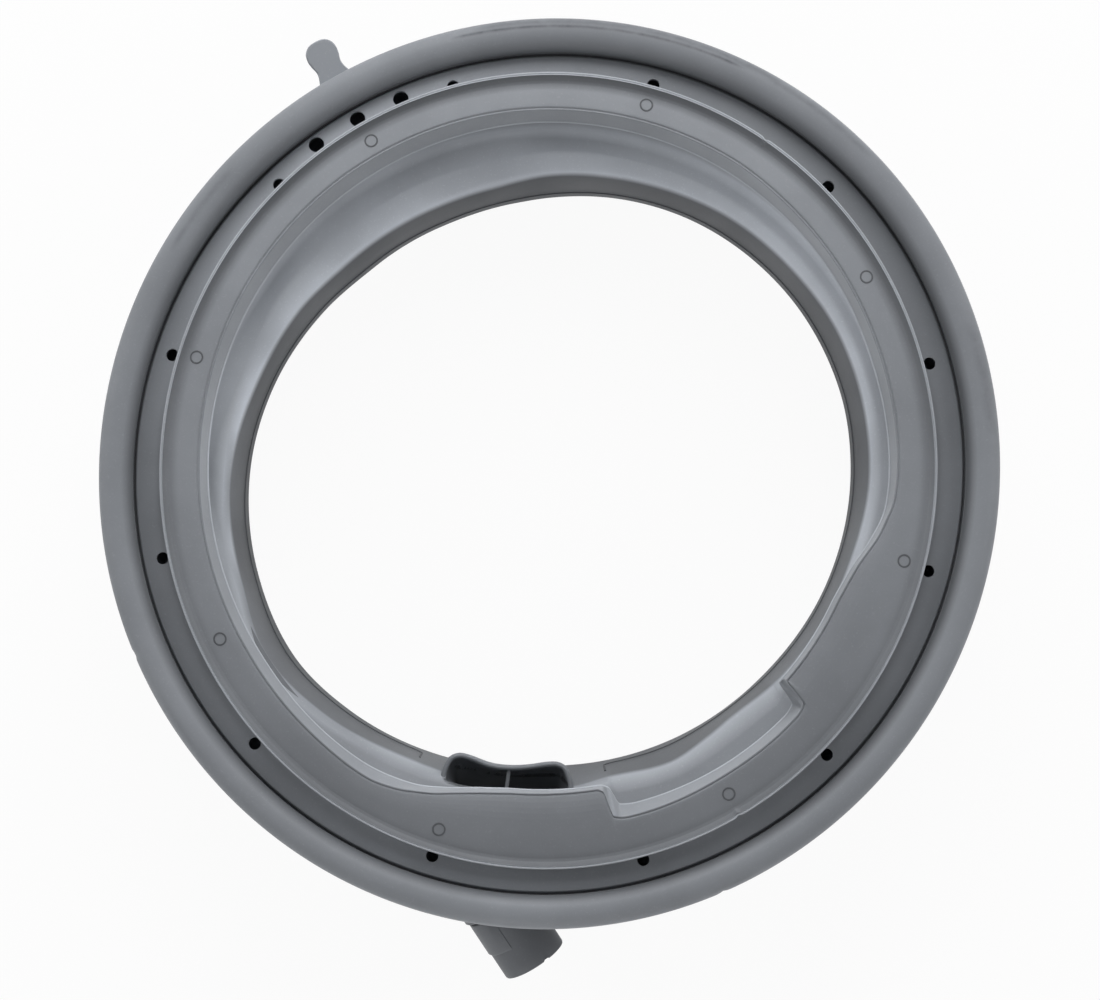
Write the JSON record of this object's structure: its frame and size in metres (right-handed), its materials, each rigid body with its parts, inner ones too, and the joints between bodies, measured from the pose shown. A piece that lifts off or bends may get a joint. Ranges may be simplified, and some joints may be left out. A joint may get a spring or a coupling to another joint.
{
  "type": "washing machine door gasket",
  "caption": "Moulded grey rubber door bellows ring with a fat front bead, wide lip, drain holes, folded wall, rear collar, hose spigot and pull tab.",
  "frame": {"origin": "on the ring's axis, in the plane of the rear collar's rim, on which the gasket lies", "axes": "+Z along the axis out of the front face, +Y towards the top of the fitted gasket, +X to the right as seen from the front"},
  "size_m": [0.3999, 0.4291, 0.092],
  "materials": {
    "rubber": "satin"
  },
  "bodies": {
    "root": {"door_gasket": "rubber"}
  },
  "joints": []
}
